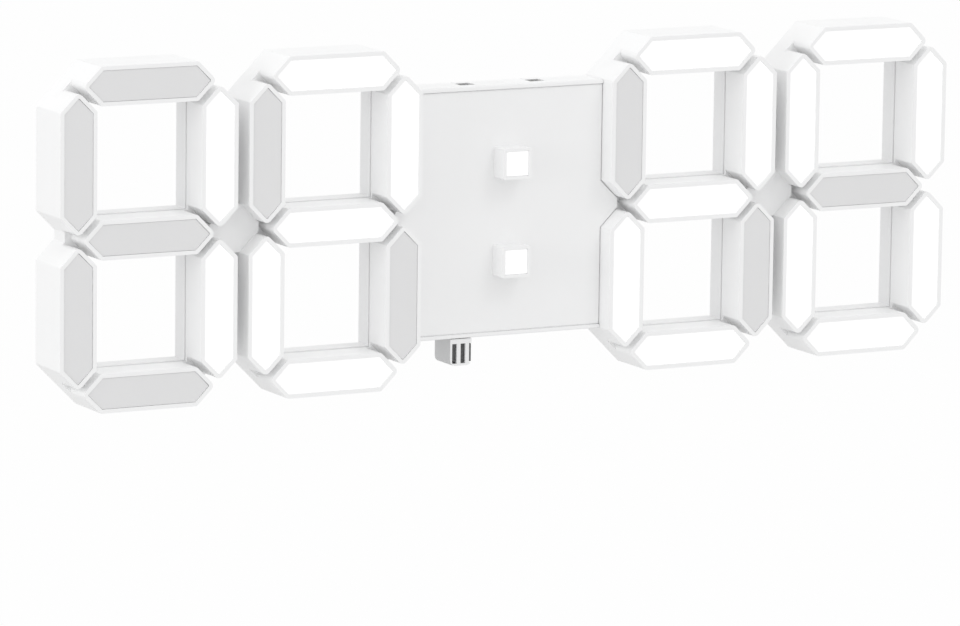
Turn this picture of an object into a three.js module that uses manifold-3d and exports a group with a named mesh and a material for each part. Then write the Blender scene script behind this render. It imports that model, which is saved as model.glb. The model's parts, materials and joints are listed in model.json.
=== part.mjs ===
// Large digital wall clock with four seven-segment digits and a colon.
// Every segment is a raised hollow tower that carries its light to a milky lens at the front.
// Millimetres. +Z is up, +X is to the right of somebody reading the clock, the front faces -Y.
// The origin is the middle of the back face, which lies against the wall.
// Outlines are drawn as [x, z] from the front, and depths are measured back from the front face.
import * as THREE from 'three';
import { mergeVertices } from 'three/addons/utils/BufferGeometryUtils.js';
import Module from 'manifold-3d';

const wasm = await Module();
wasm.setup();

// Overall proportions
const digitHeight = 153.4;
const digitWidth = 85.6;
const digitGap = 5.5;
const centreWidth = 96.6;
const clockDepth = 26.5;

// Digit strokes
const stroke = 17.5;
const cornerCut = 19.5;
const grooveWidth = 3;
const deckThickness = 1.6;
const tipRadius = 2.2;
const edgeRadius = 0.9;

// Walls and clearances
const skirtWall = 1.8;
const rimWall = 1.8;
const fitGap = 0.3;
const overrun = 1;
const joinDepth = 0.5;

// Lenses
const lensRecess = 0.3;
const lensThickness = 3;
const lensLedge = 0.9;

// Centre panel and colon
const panelSetback = 9.8;
const panelWall = 2;
const lipWidth = 1.4;
const lipRise = 0.8;
const lipInset = 0.35;
const colonSide = 14.2;
const colonSpread = 22.4;
const colonRadius = 0.8;
const colonRimWall = 1.3;

// Rear covers and the space between them and the deck that closes the towers
const backPlate = 2.4;
const rearSpace = 7.5;
const sleeveWall = 1.5;
const sleeveReveal = 0.5;
const postRadius = 2;

// Circuit boards and light sources
const boardThickness = 1.6;
const boardMargin = 0.5;
const ledSide = 3.4;
const ledHeight = 0.9;
const ledPitch = 13;
const mainBoardSideGap = 2.2;
const mainBoardTopGap = 17;
const mainBoardBottomGap = 2;
const mainPostInset = 5;

// Screws and their bosses
const bossRadius = 2.6;
const screwHoleRadius = 1.25;
const screwHeadRadius = 2.1;
const screwHeadHeight = 1.1;
const screwTipGap = 0.7;
const counterboreDepth = 1.5;
const bossPlaceShare = 0.62;
const centreScrewInset = 6.8;

// Hanging points
const hangerSpacing = 35.6;
const hangerWidth = 7.5;
const hangerNotchDepth = 11.1;
const hangerTabThickness = 4.9;
const hangerTabHeight = 3.6;
const hangerUndercut = 2.5;
const keyholeEntryRadius = 4;
const keyholeSlotWidth = 4.2;
const keyholeDrop = 16.8;
const keyholeTravel = 8;

// Joint between the centre moulding and the digit mouldings
const tongueTopInset = 22.8;
const tongueBottomInset = 10.8;
const tongueWidth = 10;
const tongueThickness = 2;
const tongueReach = 1.5;
const tongueSetback = 5.5;

// Ribbon links between the boards
const linkInset = 26.8;
const linkWidth = 10;
const linkThickness = 0.6;
const linkRise = 1.2;
const linkOverlap = 5;

// Battery bay
const batterySideInset = 24;
const batteryBottomInset = 22;
const doorSide = 27;
const doorRadius = 3;
const doorLedge = 1.6;
const doorLedgeThickness = 1;
const cellRadius = 10;
const cellThickness = 3.2;
const cellBevel = 0.5;
const holderWall = 1.3;
const holderFloor = 0.6;
const holderGapWidth = 9;
const doorGripWidth = 12;
const doorGripHeight = 2.4;
const doorGripDepth = 0.8;

// Setting buttons and their switches
const buttonSideInset = 14;
const buttonTopInset = 30;
const buttonPitch = 12;
const buttonRadius = 2.8;
const buttonFlange = 1;
const buttonFlangeThickness = 0.8;
const buttonRecess = 0.3;
const buttonTravel = 0.5;
const stemRadius = 1.5;
const stemEngagement = 0.9;
const switchSide = 6;
const switchHeight = 3;

// Buzzer, radio module and power socket
const buzzerTopInset = 11;
const buzzerRadius = 6;
const buzzerHeight = 4;
const buzzerPortRadius = 1;
const soundSlotWidth = 1.6;
const soundSlotLength = 8;
const soundSlotPitch = 3.2;
const soundSlotCount = 3;
const radioSideInset = 18;
const radioTopInset = 16;
const radioWidth = 18;
const radioHeight = 13;
const radioBoardThickness = 0.8;
const radioCanThickness = 1.8;
const radioCanMargin = 1.5;
const socketSideInset = 26;
const socketWidth = 9;
const socketThickness = 3.2;
const socketLength = 7.4;
const socketShell = 0.35;
const socketTongueWidth = 6.2;
const socketTongueThickness = 0.7;
const socketTongueLength = 4.8;

// Vented sensor housing below the centre panel
const sensorSideInset = 25.6;
const sensorWidth = 10.8;
const sensorHeight = 12.3;
const sensorBackGap = 1.5;
const sensorWall = 1;
const sensorRadius = 2.5;
const ventCount = 3;
const ventWidth = 2.4;
const cornerVentReveal = 0.2;
const ventTop = 2.2;
const ventBottom = 1;
const lugWidth = 3;
const lugSetback = 0.8;
const lugHeight = 3.4;
const wireHoleWidth = 5;
const wireHoleDepth = 3;
const screenThickness = 0.8;
const sensorBoardSetback = 2.8;
const sensorBoardThickness = 1;
const sensorChipSide = 3.6;
const sensorChipThickness = 1.1;

// Fineness of round stretches
const roundSteps = 16;
const screwSteps = 8;
const arcStep = Math.PI / 5.5;
const weldDistance = 1e-4;

// Places worked out from the sizes above
const halfWidth = digitWidth / 2;
const halfHeight = digitHeight / 2;
const grooveOffset = grooveWidth / Math.SQRT2;
const waistHeight = stroke / 2 + grooveOffset;
const panelHalfHeight = halfHeight - cornerCut;
const centreHalfWidth = centreWidth / 2;
const pairCentre = centreHalfWidth + digitWidth + digitGap / 2;
const digitOffset = (digitWidth + digitGap) / 2;
const plateInside = clockDepth - backPlate;
const deckRear = plateInside - rearSpace;
const grooveDepth = deckRear - deckThickness;
const boardFront = deckRear + fitGap;
const boardRear = boardFront + boardThickness;
const partsFront = boardRear + fitGap;
const panelInside = panelSetback + panelWall;
const screwSeat = clockDepth - counterboreDepth;
const sleeveCorner = stroke - sleeveWall;
const cornerBossInset = THREE.MathUtils.lerp(cornerCut / 2, sleeveCorner, bossPlaceShare);
const mainBoardWidth = 2 * (centreHalfWidth - fitGap - skirtWall - mainBoardSideGap);
const mainBoardTop = panelHalfHeight - skirtWall - mainBoardTopGap;
const mainBoardBottom = skirtWall + mainBoardBottomGap - panelHalfHeight;
const centreScrewHeight = panelHalfHeight - centreScrewInset;
const hangerFront = clockDepth - hangerNotchDepth;
const keyholeEntryHeight = panelHalfHeight - keyholeDrop;
const keyholeSlotTop = keyholeEntryHeight + keyholeTravel;
const tongueHeights = [panelHalfHeight - tongueTopInset, tongueBottomInset - panelHalfHeight];
const tongueDepth = clockDepth - tongueSetback;
const linkHeight = linkInset - panelHalfHeight;
const batteryPlace = [mainBoardWidth / 2 - batterySideInset, mainBoardBottom + batteryBottomInset];
const buttonColumn = buttonSideInset - mainBoardWidth / 2;
const buttonTop = mainBoardTop - buttonTopInset;
const buzzerPlace = [buttonColumn, mainBoardTop - buzzerTopInset];
const radioPlace = [mainBoardWidth / 2 - radioSideInset, mainBoardTop - radioTopInset];
const socketPlaceX = mainBoardWidth / 2 - socketSideInset;
const sensorPlaceX = sensorSideInset - centreHalfWidth;
const sensorDepth = clockDepth - panelSetback - sensorBackGap;

// Colours
const housingWhite = 0xf1f2f3;
const litWhite = 0xffffff;
const unlitGrey = 0xdcdddf;
const boardWhite = 0xe8ebe6;
const boardGreen = 0x1f5a3a;

// Outline helpers
const mirrorX = (outline) => outline.map(([x, z, r]) => [-x, z, r]).reverse();
const mirrorZ = (outline) => outline.map(([x, z, r]) => [x, -z, r]).reverse();
const moved = (outline, dx, dz = 0) => outline.map(([x, z, r]) => [x + dx, z + dz, r]);

function rectangle(left, right, bottom, top, radius = 0) {
  return [[left, bottom, radius], [right, bottom, radius], [right, top, radius], [left, top, radius]];
}

function isAnticlockwise(outline) {
  const points = outline.map(([x, z]) => new THREE.Vector2(x, z));
  return THREE.ShapeUtils.area(points) > 0;
}

// Moves every side of an outline inwards by the same distance, or outwards if it is negative.
function inset(outline, distance) {
  const ring = isAnticlockwise(outline) ? outline : [...outline].reverse();
  return ring.map(([x, z, r = 0], i) => {
    const [px, pz] = ring[(i + ring.length - 1) % ring.length];
    const [nx, nz] = ring[(i + 1) % ring.length];
    const before = new THREE.Vector2(x - px, z - pz).normalize();
    const after = new THREE.Vector2(nx - x, nz - z).normalize();
    const turn = before.cross(after);
    const share = distance / (1 + before.dot(after));
    const radius = r > 0 ? Math.max(0, r - Math.sign(turn) * distance) : 0;
    return [x - (before.y + after.y) * share, z + (before.x + after.x) * share, radius];
  });
}

// Turns the corners that have a radius into arcs.
function roundedPoints(outline) {
  const points = [];
  outline.forEach(([x, z, r = 0], i) => {
    const corner = new THREE.Vector2(x, z);
    const before = new THREE.Vector2(...outline[(i + outline.length - 1) % outline.length]);
    const after = new THREE.Vector2(...outline[(i + 1) % outline.length]);
    const back = before.sub(corner).normalize();
    const on = after.sub(corner).normalize();
    const turn = Math.PI - Math.acos(THREE.MathUtils.clamp(back.dot(on), -1, 1));
    if (r === 0 || turn === 0) {
      points.push(corner);
      return;
    }
    const steps = Math.max(1, Math.round(turn / arcStep));
    const reach = r * Math.tan(turn / 2);
    const middle = back.clone().add(on).normalize().multiplyScalar(r / Math.cos(turn / 2));
    const centre = corner.clone().add(middle);
    const start = corner.clone().addScaledVector(back, reach).sub(centre);
    const direction = Math.sign(on.cross(back));
    for (let k = 0; k <= steps; k += 1) {
      const spoke = start.clone().rotateAround(new THREE.Vector2(), (direction * turn * k) / steps);
      points.push(spoke.add(centre));
    }
  });
  return points;
}

// Solid helpers
function toSolid(geometry) {
  const bare = geometry.clone();
  bare.deleteAttribute('normal');
  bare.deleteAttribute('uv');
  const merged = mergeVertices(bare, weldDistance);
  const corners = merged.index.array;
  const kept = [];
  for (let i = 0; i < corners.length; i += 3) {
    const [a, b, c] = [corners[i], corners[i + 1], corners[i + 2]];
    if (a !== b && b !== c && c !== a) kept.push(a, b, c);
  }
  return new wasm.Manifold(new wasm.Mesh({
    numProp: 3,
    vertProperties: new Float32Array(merged.attributes.position.array),
    triVerts: new Uint32Array(kept),
  }));
}

function toGeometry(solid) {
  const mesh = solid.getMesh();
  const geometry = new THREE.BufferGeometry();
  geometry.setAttribute('position', new THREE.BufferAttribute(new Float32Array(mesh.vertProperties), 3));
  geometry.setIndex(new THREE.BufferAttribute(new Uint32Array(mesh.triVerts), 1));
  geometry.computeVertexNormals();
  return geometry;
}

// A solid with a flat outline that runs from one depth back to another.
function prism(outline, front, rear) {
  const shape = new THREE.Shape(roundedPoints(outline));
  const geometry = new THREE.ExtrudeGeometry(shape, { depth: rear - front, bevelEnabled: false });
  geometry.rotateX(Math.PI / 2);
  geometry.translate(0, rear - clockDepth, 0);
  return toSolid(geometry);
}

// A solid whose outline is drawn in [x, depth] and that runs up from one height to another.
function column(outline, bottom, top) {
  const shape = new THREE.Shape(roundedPoints(outline.map(([x, d, r]) => [x, d - clockDepth, r])));
  const geometry = new THREE.ExtrudeGeometry(shape, { depth: top - bottom, bevelEnabled: false });
  geometry.translate(0, 0, bottom);
  return toSolid(geometry);
}

// A solid whose outline is drawn in [depth, z] and that runs across from one side to the other
function beam(outline, left, right) {
  const shape = new THREE.Shape(roundedPoints(outline.map(([d, z, r]) => [d - clockDepth, z, r])));
  const geometry = new THREE.ExtrudeGeometry(shape, { depth: right - left, bevelEnabled: false });
  const [alongX, alongY, alongZ] = [0, 1, 2].map((axis) => new THREE.Vector3().setComponent(axis, 1));
  geometry.translate(0, 0, left);
  geometry.applyMatrix4(new THREE.Matrix4().makeBasis(alongY, alongZ, alongX));
  return toSolid(geometry);
}

// A turned solid on an axis that runs from front to back. The profile lists [radius, depth].
function turned(profile, x, z, steps = roundSteps) {
  const points = profile.map(([r, d]) => new THREE.Vector2(r, d - clockDepth));
  if (THREE.ShapeUtils.area(points) < 0) points.reverse();
  const geometry = new THREE.LatheGeometry([...points, points[0]], steps);
  geometry.translate(x, 0, z);
  return toSolid(geometry);
}

const rod = (radius, front, rear, x, z, steps) => {
  const profile = [[0, front], [radius, front], [radius, rear], [0, rear]];
  return turned(profile, x, z, steps);
};
const joined = (solids) => wasm.Manifold.union(solids);
const cut = (solid, cutters) => solid.subtract(joined(cutters));

// The scene graph
const clock = new THREE.Group();
clock.name = 'digital_wall_clock';

function addPart(name, solid, color, roughness, extra = {}) {
  const material = new THREE.MeshStandardMaterial({ color, roughness, metalness: 0, ...extra });
  const mesh = new THREE.Mesh(toGeometry(solid), material);
  mesh.name = name;
  clock.add(mesh);
}

// The seven strokes of a digit, around the digit's middle
function segmentOutlines() {
  const left = -halfWidth;
  const top = [
    [left + cornerCut, halfHeight, edgeRadius],
    [left + (cornerCut + grooveOffset) / 2, halfHeight - (cornerCut - grooveOffset) / 2, tipRadius],
    [left + stroke + grooveOffset, halfHeight - stroke, edgeRadius],
  ];
  const upperLeft = [
    [left, halfHeight - cornerCut, edgeRadius],
    [left, waistHeight, edgeRadius],
    [left + stroke / 2, grooveOffset, tipRadius],
    [left + stroke, waistHeight, edgeRadius],
    [left + stroke, halfHeight - stroke - grooveOffset, edgeRadius],
    [left + (cornerCut - grooveOffset) / 2, halfHeight - (cornerCut + grooveOffset) / 2, tipRadius],
  ];
  const middle = [
    [left + stroke + grooveOffset, stroke / 2, edgeRadius],
    [left + waistHeight, 0, tipRadius],
    [left + stroke + grooveOffset, -stroke / 2, edgeRadius],
  ];
  const wholeTop = [...top, ...mirrorX(top)];
  return {
    top: wholeTop,
    upper_left: upperLeft,
    upper_right: mirrorX(upperLeft),
    middle: [...middle, ...mirrorX(middle)],
    lower_left: mirrorZ(upperLeft),
    lower_right: mirrorX(mirrorZ(upperLeft)),
    bottom: mirrorZ(wholeTop),
  };
}

const segments = segmentOutlines();

// The two windows of a digit, around the digit's middle
const windowLeft = -halfWidth + stroke;
const upperWindow = rectangle(windowLeft, -windowLeft, stroke / 2, halfHeight - stroke);
const digitWindows = [upperWindow, mirrorZ(upperWindow)];

// The outline of a pair of digits with the bridge between their waists, around the pair's middle
function pairOutline() {
  const inner = digitGap / 2;
  const outer = inner + digitWidth;
  const upperRight = [
    [inner, waistHeight],
    [inner, halfHeight - cornerCut, edgeRadius],
    [inner + cornerCut, halfHeight, edgeRadius],
    [outer - cornerCut, halfHeight, edgeRadius],
    [outer, halfHeight - cornerCut, edgeRadius],
    [outer, waistHeight, edgeRadius],
    [outer - stroke / 2, grooveOffset],
  ];
  const right = [...upperRight, ...mirrorZ(upperRight)];
  return [...right, ...mirrorX(right)];
}

const pairShape = pairOutline();
const pairDigits = [-digitOffset, digitOffset];

// The bridge between the waists of two digits. Its sides may reach into the towers and grow together with them.
function bridgeOutline(reach) {
  const upperRight = [
    [digitGap / 2 + reach, waistHeight],
    [digitGap / 2 + stroke / 2 + reach, grooveOffset],
  ];
  const right = [...upperRight, ...mirrorZ(upperRight)];
  return [...right, ...mirrorX(right)];
}

// Corner places of a pair, where a screw boss or a post stands on the groove's solid floor
function cornerPlaces(side) {
  const reachX = halfWidth - cornerBossInset;
  const reachZ = halfHeight - cornerBossInset;
  const corners = [-1, 1].flatMap((i) => [-1, 1].map((j) => [i * reachX, j * reachZ]));
  const places = pairDigits.flatMap((x) => corners.map(([cornerX, cornerZ]) => [x + cornerX, cornerZ]));
  const outerMost = digitOffset + reachX;
  const isScrew = ([x, z]) => (
    Math.abs(x - side * outerMost) < bossRadius || (Math.abs(x + side * outerMost) < bossRadius && z > 0)
  );
  return { screws: places.filter(isScrew), posts: places.filter((place) => !isScrew(place)) };
}

// Light towers: the outer walls, the pocket that takes the lens and the channel behind its ledge
const lensPocketRear = lensRecess + lensThickness + fitGap;
const tower = (outline, rear) => prism(outline, 0, rear);
const lensPocket = (outline, wall) => prism(inset(outline, wall), -overrun, lensPocketRear);
const channel = (outline, wall, rear) => prism(inset(outline, wall + lensLedge), 0, rear);
const lens = (outline, wall) => prism(inset(outline, wall + fitGap), lensRecess, lensRecess + lensThickness);

// Every lit stroke of the shown time, and the places of the four digits
const shownStrokes = {
  0: ['top', 'upper_left', 'upper_right', 'lower_left', 'lower_right', 'bottom'],
  1: ['upper_right', 'lower_right'],
  2: ['top', 'upper_right', 'middle', 'lower_left', 'bottom'],
};
const pairs = [
  { name: 'hours', side: -1, digits: [['hour_tens', 1], ['hour_ones', 2]] },
  { name: 'minutes', side: 1, digits: [['minute_tens', 2], ['minute_ones', 0]] },
];

// Front moulding of a pair of digits
function pairFront(side) {
  const inner = -side * (pairCentre - centreHalfWidth);
  const wallMiddle = inner + (side * skirtWall) / 2;
  const acrossWall = [wallMiddle - skirtWall, wallMiddle + skirtWall];
  const { screws } = cornerPlaces(side);
  const towers = pairDigits.flatMap((x) => Object.values(segments).map((s) => moved(s, x)));
  const windows = pairDigits.flatMap((x) => digitWindows.map((w) => moved(w, x)));
  const shell = cut(prism(pairShape, grooveDepth, clockDepth), [
    prism(inset(pairShape, skirtWall), deckRear, clockDepth + overrun),
    ...windows.map((w) => prism(w, 0, clockDepth)),
  ]);
  const raised = joined([
    shell,
    prism(bridgeOutline(joinDepth), panelSetback, deckRear),
    ...towers.map((t) => tower(t, grooveDepth + joinDepth)),
    ...screws.map(([x, z]) => rod(bossRadius, grooveDepth + joinDepth, plateInside - fitGap, x, z)),
  ]);
  const tongueReachZ = tongueWidth / 2 + fitGap;
  const tongueReachY = tongueThickness / 2 + fitGap;
  const slots = tongueHeights.map((z) => column(
    rectangle(...acrossWall, tongueDepth - tongueReachY, tongueDepth + tongueReachY),
    z - tongueReachZ,
    z + tongueReachZ,
  ));
  const port = column(
    rectangle(...acrossWall, boardRear, partsFront + linkRise + linkThickness + fitGap),
    linkHeight - linkWidth / 2 - fitGap,
    linkHeight + linkWidth / 2 + fitGap,
  );
  return cut(raised, [
    prism(inset(bridgeOutline(0), skirtWall), panelInside, deckRear + overrun),
    ...towers.map((t) => lensPocket(t, rimWall)),
    ...towers.map((t) => channel(t, rimWall, deckRear + overrun)),
    ...screws.map(([x, z]) => rod(screwHoleRadius, deckRear, clockDepth, x, z)),
    ...screws.map(([x, z]) => rod(screwHeadRadius + fitGap, screwSeat, clockDepth + overrun, x, z)),
    ...slots,
    port,
  ]);
}

// Rear cover of a pair of digits. The sleeve round each window stands a little proud of the towers' sides.
function pairRear(side) {
  const { screws, posts } = cornerPlaces(side);
  const windows = pairDigits.flatMap((x) => digitWindows.map((w) => moved(w, x)));
  const edge = inset(pairShape, skirtWall + fitGap);
  const standing = joined(posts.map(([x, z]) => rod(postRadius, partsFront, clockDepth, x, z, screwSteps)));
  const whole = joined([
    prism(edge, plateInside, clockDepth),
    ...windows.map((w) => prism(inset(w, -sleeveWall), boardFront, plateInside + joinDepth)),
    standing.intersect(prism(edge, partsFront, clockDepth)),
  ]);
  return cut(whole, [
    ...windows.map((w) => prism(inset(w, sleeveReveal), 0, clockDepth + overrun)),
    ...screws.map(([x, z]) => rod(bossRadius + fitGap, 0, plateInside, x, z)),
    ...screws.map(screwCutter),
  ]);
}

function screwCutter([x, z]) {
  const profile = [
    [0, plateInside - overrun],
    [screwHoleRadius, plateInside - overrun],
    [screwHoleRadius, screwSeat],
    [screwHeadRadius + fitGap, screwSeat],
    [screwHeadRadius + fitGap, clockDepth + overrun],
    [0, clockDepth + overrun],
  ];
  return turned(profile, x, z);
}

function screw([x, z]) {
  const headFront = screwSeat + fitGap;
  const tip = deckRear + screwTipGap;
  const shankRadius = screwHoleRadius - fitGap;
  const profile = [
    [0, tip],
    [shankRadius, tip + shankRadius],
    [shankRadius, headFront],
    [screwHeadRadius, headFront],
    [screwHeadRadius, headFront + screwHeadHeight],
    [0, headFront + screwHeadHeight],
  ];
  return turned(profile, x, z, screwSteps);
}

// One board lights both digits of a pair
function pairBoard(side) {
  const { screws } = cornerPlaces(side);
  const windows = pairDigits.flatMap((x) => digitWindows.map((w) => moved(w, x)));
  const strokeHeight = (halfHeight - stroke / 2) / 2;
  const across = (x, z) => [-1, 0, 1].map((k) => [x + k * ledPitch, z]);
  const upright = (x, z) => [-1, 1].map((k) => [x, z + k * ledPitch]);
  const edge = halfWidth - stroke / 2;
  const places = pairDigits.flatMap((x) => [
    ...[2 * strokeHeight, 0, -2 * strokeHeight].flatMap((z) => across(x, z)),
    ...[-1, 1].flatMap((i) => [-1, 1].flatMap((j) => upright(x + i * edge, j * strokeHeight))),
  ]);
  const plate = cut(prism(inset(pairShape, skirtWall + boardMargin), boardFront, boardRear), [
    ...windows.map((w) => prism(inset(w, -sleeveWall - boardMargin), 0, clockDepth)),
    ...screws.map(([x, z]) => rod(bossRadius + boardMargin, 0, clockDepth, x, z, screwSteps)),
  ]);
  return joined([plate, ...places.map((place) => lightSource(place))]);
}

function lightSource([x, z]) {
  const body = rectangle(x - ledSide / 2, x + ledSide / 2, z - ledSide / 2, z + ledSide / 2);
  return prism(body, boardFront - ledHeight, boardFront + joinDepth);
}

// The centre moulding fills the space between the pairs and the notches at their waists
function centreOutline() {
  const side = centreHalfWidth - fitGap;
  const slant = grooveOffset - fitGap * (Math.SQRT2 - 1);
  const upperRight = [
    [side, panelHalfHeight],
    [side, slant + stroke / 2],
    [side + stroke / 2, slant],
  ];
  const right = [...upperRight, ...mirrorZ(upperRight)];
  return [...right, ...mirrorX(right)];
}

const centreShape = centreOutline();
const colonHeights = [colonSpread, -colonSpread];
const colonOutline = (z) => rectangle(
  -colonSide / 2,
  colonSide / 2,
  z - colonSide / 2,
  z + colonSide / 2,
  colonRadius,
);
const mainPosts = [-1, 1].flatMap((i) => [mainBoardBottom, mainBoardTop].map((z) => [
  i * (mainBoardWidth / 2 - mainPostInset),
  z - Math.sign(z) * mainPostInset,
]));
const centreScrew = [0, -centreScrewHeight];
const hangers = [-hangerSpacing / 2, hangerSpacing / 2];
const buttonHeights = [0, 1, 2].map((k) => buttonTop - k * buttonPitch);
const switchRear = boardRear + switchHeight;
const sensorFront = panelSetback;
const sensorTop = -panelHalfHeight - fitGap;
const sensorBottom = sensorTop - sensorHeight;
const screenFront = sensorFront + sensorWall + fitGap;
const screenRear = screenFront + screenThickness;

function centreFront() {
  const side = centreHalfWidth - fitGap;
  const lip = [-1, 1].map((j) => {
    const outer = panelHalfHeight - lipInset;
    const edges = [j * outer, j * (outer - lipWidth)].sort((a, b) => a - b);
    return prism(rectangle(-side, side, ...edges), panelSetback - lipRise, panelSetback + joinDepth);
  });
  const tongues = [-1, 1].flatMap((i) => tongueHeights.map((z) => {
    const reach = [i * (side - skirtWall / 2), i * (centreHalfWidth + skirtWall + tongueReach)];
    const edges = reach.sort((a, b) => a - b);
    const outline = rectangle(...edges, tongueDepth - tongueThickness / 2, tongueDepth + tongueThickness / 2);
    return column(outline, z - tongueWidth / 2, z + tongueWidth / 2);
  }));
  const shell = cut(prism(centreShape, panelSetback, clockDepth), [
    prism(inset(centreShape, skirtWall), panelInside, clockDepth + overrun),
  ]);
  const whole = joined([
    shell,
    ...lip,
    ...tongues,
    ...colonHeights.map((z) => tower(colonOutline(z), deckRear)),
    ...mainPosts.map(([x, z]) => rod(postRadius, panelInside - joinDepth, deckRear, x, z, screwSteps)),
    rod(bossRadius, panelInside - joinDepth, plateInside - fitGap, ...centreScrew),
  ]);
  const ports = [-1, 1].map((i) => {
    const reach = [i * (side - skirtWall - overrun), i * (side + overrun)].sort((a, b) => a - b);
    const outline = rectangle(...reach, boardRear, partsFront + linkRise + linkThickness + fitGap);
    return column(outline, linkHeight - linkWidth / 2 - fitGap, linkHeight + linkWidth / 2 + fitGap);
  });
  const throughFloor = [-panelHalfHeight - overrun, -panelHalfHeight + skirtWall + overrun];
  const lugSlots = lugOutlines(fitGap).map((outline) => column(outline, ...throughFloor));
  const wireHole = column(wireHoleOutline(), ...throughFloor);
  const socketMouth = column(socketOutline(-fitGap), ...throughFloor);
  const notches = hangers.map((x) => prism(
    rectangle(x - hangerWidth / 2, x + hangerWidth / 2, panelHalfHeight - skirtWall - overrun, halfHeight),
    hangerFront,
    clockDepth + overrun,
  ));
  return cut(whole, [
    ...colonHeights.map((z) => lensPocket(colonOutline(z), colonRimWall)),
    ...colonHeights.map((z) => channel(colonOutline(z), colonRimWall, deckRear + overrun)),
    rod(screwHoleRadius, deckRear, clockDepth, ...centreScrew),
    ...ports,
    ...lugSlots,
    ...notches,
    wireHole,
    socketMouth,
  ]);
}

// A nail head enters the round end of the keyhole and the shank slides up its slot.
function keyholeCutter(x) {
  const half = keyholeSlotWidth / 2;
  const slot = rectangle(x - half, x + half, keyholeEntryHeight, keyholeSlotTop + half, half);
  return joined([
    rod(keyholeEntryRadius, plateInside - overrun, clockDepth + overrun, x, keyholeEntryHeight),
    prism(slot, plateInside - overrun, clockDepth + overrun),
  ]);
}

function soundSlots() {
  const [x, z] = buzzerPlace;
  const middle = (soundSlotCount - 1) / 2;
  return Array.from({ length: soundSlotCount }, (_, k) => {
    const height = z + (k - middle) * soundSlotPitch;
    const half = soundSlotWidth / 2;
    const reach = soundSlotLength / 2;
    const outline = rectangle(x - reach, x + reach, height - half, height + half, half);
    return prism(outline, plateInside - overrun, clockDepth + overrun);
  });
}

const doorOutline = () => {
  const [x, z] = batteryPlace;
  const half = doorSide / 2;
  return rectangle(x - half, x + half, z - half, z + half, doorRadius);
};

// Rear cover of the centre, with the keyholes, the battery bay and the button holes
function centreRear() {
  const tabHalf = hangerWidth / 2 - fitGap;
  const tabFront = clockDepth - hangerTabThickness;
  const tab = [
    [tabFront, panelHalfHeight],
    [tabFront + hangerUndercut, panelHalfHeight - hangerTabHeight],
    [clockDepth, panelHalfHeight - hangerTabHeight],
    [clockDepth, panelHalfHeight],
  ];
  const pocket = inset(doorOutline(), -fitGap);
  const whole = joined([
    prism(inset(centreShape, skirtWall + fitGap), plateInside, clockDepth),
    ...hangers.map((x) => beam(tab, x - tabHalf, x + tabHalf)),
    ...mainPosts.map(([x, z]) => rod(postRadius, partsFront, plateInside + joinDepth, x, z, screwSteps)),
    prism(inset(pocket, -doorLedge), plateInside - doorLedgeThickness, plateInside + joinDepth),
  ]);
  return cut(whole, [
    ...hangers.map(keyholeCutter),
    screwCutter(centreScrew),
    ...buttonHeights.map((z) => rod(buttonRadius + fitGap, 0, clockDepth + overrun, buttonColumn, z)),
    ...soundSlots(),
    prism(pocket, plateInside, clockDepth + overrun),
    prism(inset(pocket, doorLedge), 0, clockDepth + overrun),
  ]);
}

// Battery door with a shallow finger groove
function batteryDoor() {
  const [x, z] = batteryPlace;
  const top = z + doorSide / 2 - doorLedge;
  const groove = rectangle(x - doorGripWidth / 2, x + doorGripWidth / 2, top - doorGripHeight, top);
  return prism(doorOutline(), plateInside + fitGap, clockDepth).subtract(
    prism(groove, clockDepth - doorGripDepth, clockDepth + overrun),
  );
}

function coinCell() {
  const front = partsFront + holderFloor + fitGap;
  const rear = front + cellThickness;
  const profile = [
    [0, front],
    [cellRadius - cellBevel, front],
    [cellRadius, front + cellBevel],
    [cellRadius, rear],
    [0, rear],
  ];
  return turned(profile, ...batteryPlace, roundSteps * 2);
}

// Ring that holds the coin cell, open on one side for a fingernail
function cellHolder() {
  const [x, z] = batteryPlace;
  const inner = cellRadius + fitGap;
  const rear = partsFront + holderFloor + cellThickness;
  const ring = turned([
    [0, partsFront],
    [inner + holderWall, partsFront],
    [inner + holderWall, rear],
    [inner, rear],
    [inner, partsFront + holderFloor],
    [0, partsFront + holderFloor],
  ], x, z, roundSteps * 2);
  const gap = rectangle(x - holderGapWidth / 2, x + holderGapWidth / 2, z, z + inner + holderWall + overrun);
  return ring.subtract(prism(gap, partsFront + holderFloor, rear + overrun));
}

// Setting button: a cap in the rear cover, a flange that keeps it in and a stem in its switch
function button(z) {
  const capRear = clockDepth - buttonRecess;
  const flangeRear = plateInside - fitGap;
  const flangeFront = flangeRear - buttonFlangeThickness;
  const stemFront = switchRear - stemEngagement;
  const profile = [
    [0, stemFront],
    [stemRadius, stemFront],
    [stemRadius, flangeFront],
    [buttonRadius + buttonFlange, flangeFront],
    [buttonRadius + buttonFlange, flangeRear],
    [buttonRadius, flangeRear],
    [buttonRadius, capRear - buttonRecess],
    [buttonRadius - buttonRecess, capRear],
    [0, capRear],
  ];
  return turned(profile, buttonColumn, z);
}

function mainBoard() {
  const half = mainBoardWidth / 2;
  const plate = prism(rectangle(-half, half, mainBoardBottom, mainBoardTop), boardFront, boardRear);
  const switchHalf = switchSide / 2;
  const switches = buttonHeights.map((z) => prism(
    rectangle(buttonColumn - switchHalf, buttonColumn + switchHalf, z - switchHalf, z + switchHalf),
    boardRear - joinDepth,
    switchRear,
  ));
  const wells = buttonHeights.map((z) => rod(
    stemRadius + fitGap,
    switchRear - stemEngagement - buttonTravel - fitGap,
    switchRear + overrun,
    buttonColumn,
    z,
  ));
  const bossHole = rod(bossRadius + boardMargin, 0, clockDepth, ...centreScrew);
  const sources = colonHeights.map((z) => lightSource([0, z]));
  return cut(joined([plate, ...switches, ...sources]), [...wells, bossHole]);
}

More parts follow.
